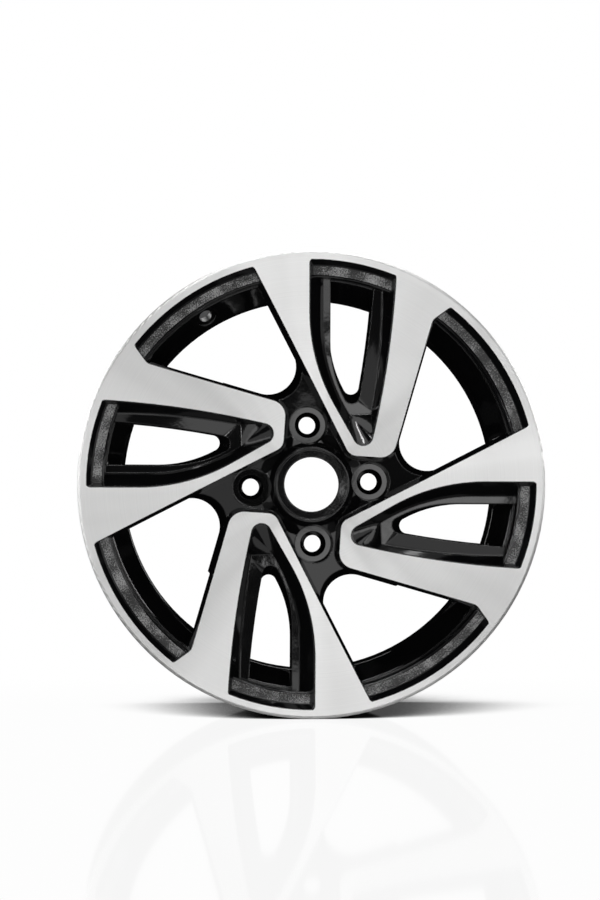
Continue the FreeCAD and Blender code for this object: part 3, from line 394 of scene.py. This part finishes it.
@dataclass(frozen=True)
class GrainedLedge:
    """Thin paint on a coarse cast skin: dark specks on grey."""

    name: str = "grained_ledge"
    dark: Colour = (0.004, 0.004, 0.004)
    pale: Colour = (0.24, 0.24, 0.24)
    roughness: float = 0.42
    coat: float = 0.2
    coat_roughness: float = 0.2
    fine_scale: float = 900.0
    fine_octaves: float = 0.6
    fine_share: float = 0.8
    broad_scale: float = 70.0
    broad_share: float = 0.45
    tone: Pair = (0.60, 0.76)
    grain: float = 0.00035
    grain_strength: float = 0.7
    edge: float = 0.0006

    def make(self) -> bpy.types.Material:
        """Returns the material."""
        sheet = NodeSheet(self.name)
        place = sheet.place()
        shader = sheet.surface(
            Coat_Weight=self.coat, Coat_Roughness=self.coat_roughness, Roughness=self.roughness)
        fine = sheet.noise(place, self.fine_scale, detail=3.0, roughness=self.fine_octaves)
        broad = sheet.noise(place, self.broad_scale, detail=2.0)
        patches = sheet.math("MULTIPLY", broad, self.broad_share)
        tone = sheet.math("MULTIPLY_ADD", fine, self.fine_share, patches)
        colour = sheet.blend(sheet.span(tone, 0.0, 1.0, *self.tone), self.dark, self.pale)
        sheet.join(colour, shader.inputs["Base Color"])
        rounded = sheet.round_edge(self.edge)
        normal = sheet.relief(fine, self.grain, self.grain_strength, rounded)
        sheet.join(normal, shader.inputs["Normal"])
        return sheet.material


@dataclass(frozen=True)
class FloorFinish:
    """A white, faintly polished sheet that glows evenly, with a painted shadow where the rim stands
    close over it, falling behind the rim and to its right.
    """

    name: str = "studio_floor"
    gloss: float = 0.08
    roughness: float = 0.05
    reach: float = 0.4
    samples: int = 40
    shadow_lean: Point = (-0.19, -0.755, 0.63)
    shade: Pair = (0.36, 0.72)
    behind: Pair = (0.06, 0.40)
    beside: Pair = (0.25, 0.75)

    def make(self) -> bpy.types.Material:
        """Returns the material."""
        sheet = NodeSheet(self.name)
        both = sheet.add("ShaderNodeMixShader")
        sheet.join(self.fading(sheet), both.inputs[0])
        sheet.join(self.lit(sheet), both.inputs[1])
        shine = sheet.add("ShaderNodeBsdfGlossy")
        shine.inputs["Roughness"].default_value = self.roughness
        sheet.join(shine.outputs[0], both.inputs[2])
        sheet.join(both.outputs[0], sheet.output.inputs["Surface"])
        return sheet.material

    def lit(self, sheet: NodeSheet) -> Socket:
        """Makes the sheet glow evenly, with a painted shadow where the rim closes over it.

        Args:
            sheet: The floor's node tree.

        Returns:
            The glow, with its painted shadow.
        """
        # Painted shadow: the glow is dimmed by how much of the view, along a normal that leans
        # forward and to the left, the rim closes within reach.
        near = sheet.add("ShaderNodeAmbientOcclusion", samples=self.samples)
        near.inputs["Distance"].default_value = self.reach
        toward = sheet.add("ShaderNodeCombineXYZ")
        for socket, value in zip(toward.inputs, self.shadow_lean):
            socket.default_value = value
        sheet.join(toward.outputs[0], near.inputs["Normal"])
        white = sheet.add("ShaderNodeEmission")
        open_share = sheet.span(near.outputs["AO"], 0.0, 1.0, *self.shade, smooth=True)
        sheet.join(open_share, white.inputs["Strength"])
        return white.outputs[0]

    def fading(self, sheet: NodeSheet) -> Socket:
        """Lets the polish fade out behind the rim and to both its sides.

        Args:
            sheet: The floor's node tree.

        Returns:
            The share of polish.
        """
        axes = sheet.add("ShaderNodeSeparateXYZ")
        sheet.join(sheet.place(), axes.inputs[0])
        behind = sheet.span(axes.outputs["Y"], self.gloss, 0.0, *self.behind)
        aside = sheet.math("ABSOLUTE", axes.outputs["X"])
        beside = sheet.span(aside, self.gloss, 0.0, *self.beside)
        return sheet.math("MINIMUM", behind, beside)


@dataclass
class RimCasting:
    """The casting: lip, spokes, hub and barrel in one piece."""

    node: str = "wheel_rim"
    body: str = "root"
    slot: str = "rim"
    face_depth: float = 0.0025
    face_look: float = -0.93
    lip_edge_radius: float = 0.1922
    lip_edge_depth: float = 0.0068
    ledge_radius: Pair = (0.1727, 0.1824)
    ledge_depth: Pair = (0.0070, 0.0090)
    ledge_look: float = -0.9
    seat_radius: Pair = (0.033, 0.067)
    seat_depth: float = 0.030
    seat_look: float = -0.98
    barrel_radius: float = 0.150
    barrel_outward: float = 0.25
    back_look: float = 0.3
    least_radius: float = 1e-6

    def build(self) -> bpy.types.Object:
        """Copies the solid's mesh, gives each face its finish, and puts it in the solid's place.

        Returns:
            The new object.
        """
        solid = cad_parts[self.node]
        mesh = solid.data.copy()
        mesh.name = "rim_casting"
        piece = bpy.data.objects.new("rim_casting", mesh)
        bpy.context.scene.collection.objects.link(piece)
        self.dress(piece)
        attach(piece, self.body)
        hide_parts(self.node)
        return piece

    @staticmethod
    def finishes() -> dict[Finish, bpy.types.Material]:
        """Returns the material of each finish."""
        return {
            Finish.TURNED: TurnedFace().make(),
            Finish.PAINT: GlossPaint().make(),
            Finish.LEDGE: GrainedLedge().make(),
            Finish.BARREL: GlossPaint(
                name="barrel_paint", colour=(0.032, 0.032, 0.033), roughness=(0.34, 0.46),
                coat=0.25, coat_roughness=0.3, shine=0.5, wave=0.0002).make(),
            # The lip's rounded edge: a rougher copy of the turned metal, darker as painted shade,
            # which keeps the lip's outline from melting into the white.
            Finish.EDGE: TurnedFace(
                name="painted_shade_edge", colour=(0.80, 0.80, 0.795), dark_end=(0.68, 0.68, 0.675),
                roughness=(0.5, 0.6), border=0.0).make(),
            Finish.SEAT: GlossPaint(
                name="seat_paint", peel=0.00002, wave=0.0, edge=0.0003).make(),
        }

    def dress(self, piece: bpy.types.Object) -> None:
        """Fills the material slots and sets each face's finish.

        Args:
            piece: The visible rim.
        """
        materials = self.finishes()
        piece.data.materials.clear()
        for finish in Finish:
            piece.data.materials.append(materials[finish])
        low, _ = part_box(self.node)
        points = [vertex.co for vertex in piece.data.vertices]
        for face in piece.data.polygons:
            inner = min(math.hypot(points[index].x, points[index].z) for index in face.vertices)
            finish = self.finish_of(face.center, face.normal, inner, low.y)
            face.material_index = finish.value

    def finish_of(self, centre: Vector, normal: Vector, inner: float, front: float) -> Finish:
        """Chooses a face's finish by where it is and where it looks.

        Args:
            centre: The face's centre.
            normal: The face's outward direction.
            inner: Its corners' least distance from the spin axis.
            front: Where the rim starts, along the spin axis.

        Returns:
            The finish.
        """
        depth = centre.y - front
        radius = math.hypot(centre.x, centre.z)
        # The lip's rounded edge gets the darker copy of the turned metal: painted shade.
        if inner > self.lip_edge_radius and depth < self.lip_edge_depth:
            return Finish.EDGE
        if normal.y < self.face_look and depth < self.face_depth:
            return Finish.TURNED
        on_ledge = (self.ledge_radius[0] < radius < self.ledge_radius[1]
                    and self.ledge_depth[0] < depth < self.ledge_depth[1])
        if normal.y < self.ledge_look and on_ledge:
            return Finish.LEDGE
        on_seat = (self.seat_radius[0] < radius < self.seat_radius[1]
                   and depth > self.seat_depth)
        if normal.y < self.seat_look and on_seat:
            return Finish.SEAT
        outward = normal.x * centre.x + normal.z * centre.z
        outward /= max(radius, self.least_radius)
        on_barrel = radius > self.barrel_radius and outward > self.barrel_outward
        if normal.y > self.back_look or on_barrel:
            return Finish.BARREL
        return Finish.PAINT


@dataclass(frozen=True)
class Softbox:
    """A rectangular light: its centre, width and height, and its brightness, with white at 1."""

    name: str
    at: Point
    size: Pair
    radiance: float


RIM_LIGHTS: tuple[Softbox, ...] = (
    # Beside the camera: what the turned face mirrors.
    Softbox("near_upper", (0.2625, -2.30, 0.1525), (0.375, 0.165), 3.0),
    Softbox("near_right", (0.32, -2.30, 0.0), (0.26, 0.13), 3.0),
    Softbox("near_lower", (0.2625, -2.30, -0.13), (0.375, 0.12), 3.0),
    Softbox("near_top", (0.28, -2.30, 0.325), (0.45, 0.075), 2.0),
    # Farther round the camera: the crown's outer parts and the fall of light across the face.
    Softbox("far_right", (1.15, -2.0, 0.3), (0.7, 1.2), 1.5),
    Softbox("high_front", (0.15, -2.2, 1.05), (1.3, 0.85), 0.88),
    Softbox("low_front", (0.15, -2.2, -0.66), (1.3, 0.75), 1.5),
    Softbox("left_box", (-0.62, -2.25, 0.25), (0.62, 1.5), 0.65),
    # At the sides, above and below: the walls of pockets and windows.
    Softbox("right_side", (1.5, -0.3, 0.2), (0.9, 1.2), 1.5),
    Softbox("left_side", (-1.5, -0.3, 0.2), (0.9, 1.2), 1.2),
    Softbox("top_box", (0.1, -0.5, 1.7), (2.2, 1.8), 1.5),
    Softbox("left_corner", (-1.9, -1.2, 0.1), (1.5, 1.8), 0.7),
    Softbox("right_corner", (1.9, -1.2, 0.1), (1.5, 1.8), 0.8),
    Softbox("under_glow", (0.0, -0.95, -1.5), (2.0, 1.6), 0.6),
    # Narrow and strong: the bright lines on painted edges.
    Softbox("edge_strip_top", (0.0, -1.2, 1.9), (1.6, 0.10), 20.0),
    Softbox("edge_strip_left", (-1.7, -1.3, 0.5), (0.10, 1.2), 20.0),
    # Behind: the barrel and the back.
    Softbox("rear_left", (-2.0, 1.0, 0.9), (1.2, 1.2), 6.0),
    Softbox("rear_right", (2.0, 1.0, 0.7), (1.2, 1.2), 5.5),
    Softbox("rear_top", (0.0, 0.8, 2.0), (1.6, 0.8), 6.0),
)
FLOOR_LIGHTS: tuple[Softbox, ...] = (
    Softbox("back_card", (0.2, 3.0, 0.35), (3.0, 1.1), 1.0),
)


@dataclass
class Studio:
    """The pale room: floor, soft lights, white surround and camera."""

    floor_z: float = -0.1949
    floor_size: float = 14.0
    room_reach: Pair = (-1.0, 0.1)
    room_light: Pair = (0.06, 0.002)
    aim: Point = (0.0, -0.0877, 0.0)
    distance: float = 2.2
    azimuth: float = -3.03
    frame_px: tuple[int, int] = (600, 900)
    metres_per_px: float = 0.0008299
    centre_px: Pair = (312.35, 484.5)
    sensor_mm: float = 36.0
    farthest: float = 50.0

    def floor(self) -> bpy.types.Object:
        """Returns the floor."""
        half = self.floor_size / 2
        mesh = bpy.data.meshes.new("floor")
        corners = [(-half, -half, self.floor_z), (half, -half, self.floor_z),
                   (half, half, self.floor_z), (-half, half, self.floor_z)]
        mesh.from_pydata(corners, [], [(0, 1, 2, 3)])
        piece = bpy.data.objects.new("floor", mesh)
        bpy.context.scene.collection.objects.link(piece)
        mesh.materials.append(FloorFinish().make())
        piece.visible_glossy = False
        piece.visible_shadow = False
        return piece

    def surround(self) -> bpy.types.World:
        """Returns the world: white to look at, and a dim room, paler in front, for its light."""
        world = bpy.data.worlds.new("surround")
        world.use_nodes = True
        tree = world.node_tree
        tree.nodes.clear()
        add, join = tree.nodes.new, tree.links.new
        out = add("ShaderNodeOutputWorld")
        seen = add("ShaderNodeBackground")
        seen.inputs["Color"].default_value = (1.0, 1.0, 1.0, 1.0)
        seen.inputs["Strength"].default_value = 1.0
        lit = add("ShaderNodeBackground")
        split = add("ShaderNodeSeparateXYZ")
        ramp = add("ShaderNodeMapRange")
        for name, value in zip(("From Min", "From Max"), self.room_reach):
            ramp.inputs[name].default_value = value
        for name, value in zip(("To Min", "To Max"), self.room_light):
            ramp.inputs[name].default_value = value
        join(add("ShaderNodeTexCoord").outputs["Generated"], split.inputs[0])
        join(split.outputs["Y"], ramp.inputs["Value"])
        join(ramp.outputs[0], lit.inputs["Strength"])
        mix = add("ShaderNodeMixShader")
        join(add("ShaderNodeLightPath").outputs["Is Camera Ray"], mix.inputs[0])
        join(lit.outputs[0], mix.inputs[1])
        join(seen.outputs[0], mix.inputs[2])
        join(mix.outputs[0], out.inputs["Surface"])
        bpy.context.scene.world = world
        return world

    def hang(self, box: Softbox, only: bpy.types.Collection) -> bpy.types.Object:
        """Adds a light that looks at the rim.

        Args:
            box: The light's sizes.
            only: What it lights.

        Returns:
            The light.
        """
        data = bpy.data.lights.new(box.name, "AREA")
        data.shape = "RECTANGLE"
        data.size, data.size_y = box.size
        data.energy = box.radiance * math.pi * box.size[0] * box.size[1]
        light = bpy.data.objects.new(box.name, data)
        bpy.context.scene.collection.objects.link(light)
        light.location = box.at
        toward = Vector(self.aim) - Vector(box.at)
        light.rotation_euler = toward.to_track_quat("-Z", "Y").to_euler()
        light.visible_camera = False
        light.light_linking.receiver_collection = only
        return light

    @staticmethod
    def group(name: str, piece: bpy.types.Object) -> bpy.types.Collection:
        """Makes a collection that lights are kept to.

        Args:
            name: The collection's name.
            piece: What it holds.

        Returns:
            The collection.
        """
        held = bpy.data.collections.new(name)
        held.objects.link(piece)
        return held

    def lights(self, rim: bpy.types.Object, floor: bpy.types.Object) -> list[bpy.types.Object]:
        """Hangs the rim's lights, and the card behind it that the floor's polish shows.

        Args:
            rim: The visible rim.
            floor: The floor.

        Returns:
            The lights.
        """
        on_rim = self.group("lit_rim", rim)
        on_floor = self.group("lit_floor", floor)
        return ([self.hang(box, on_rim) for box in RIM_LIGHTS]
                + [self.hang(box, on_floor) for box in FLOOR_LIGHTS])

    def camera(self) -> bpy.types.Object:
        """Returns the camera, level with the spin axis and a little to its left."""
        turn = math.radians(self.azimuth)
        data = bpy.data.cameras.new("camera")
        camera = bpy.data.objects.new("camera", data)
        bpy.context.scene.collection.objects.link(camera)
        width, height = self.frame_px
        longest = max(width, height)
        data.sensor_fit = "VERTICAL"
        data.sensor_height = self.sensor_mm
        data.lens = self.sensor_mm * self.distance / (height * self.metres_per_px)
        data.shift_x = (width / 2 - self.centre_px[0]) / longest
        data.shift_y = (self.centre_px[1] - height / 2) / longest
        data.clip_end = self.farthest
        away = Vector((math.sin(turn), -math.cos(turn), 0.0))
        camera.location = Vector(self.aim) + self.distance * away
        camera.rotation_euler = (math.pi / 2, 0.0, turn)
        bpy.context.scene.camera = camera
        return camera

    @staticmethod
    def tone() -> None:
        """Shows light as it is, so that white stays white."""
        bpy.context.scene.view_settings.view_transform = "Standard"


def main() -> None:
    """Builds the rim and its studio."""
    logging.basicConfig(level=logging.INFO, format="%(name)s: %(message)s")
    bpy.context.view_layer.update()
    rim = RimCasting().build()
    LOG.info("%s: %d faces", rim.name, len(rim.data.polygons))
    studio = Studio()
    floor = studio.floor()
    LOG.info("%s: at %.4f m", floor.name, studio.floor_z)
    world = studio.surround()
    LOG.info("%s: set", world.name)
    for light in studio.lights(rim, floor):
        LOG.info("%s: %.0f W", light.name, light.data.energy)
    camera = studio.camera()
    LOG.info("%s: lens %.1f mm", camera.name, camera.data.lens)
    studio.tone()


if __name__ == "__main__":
    main()
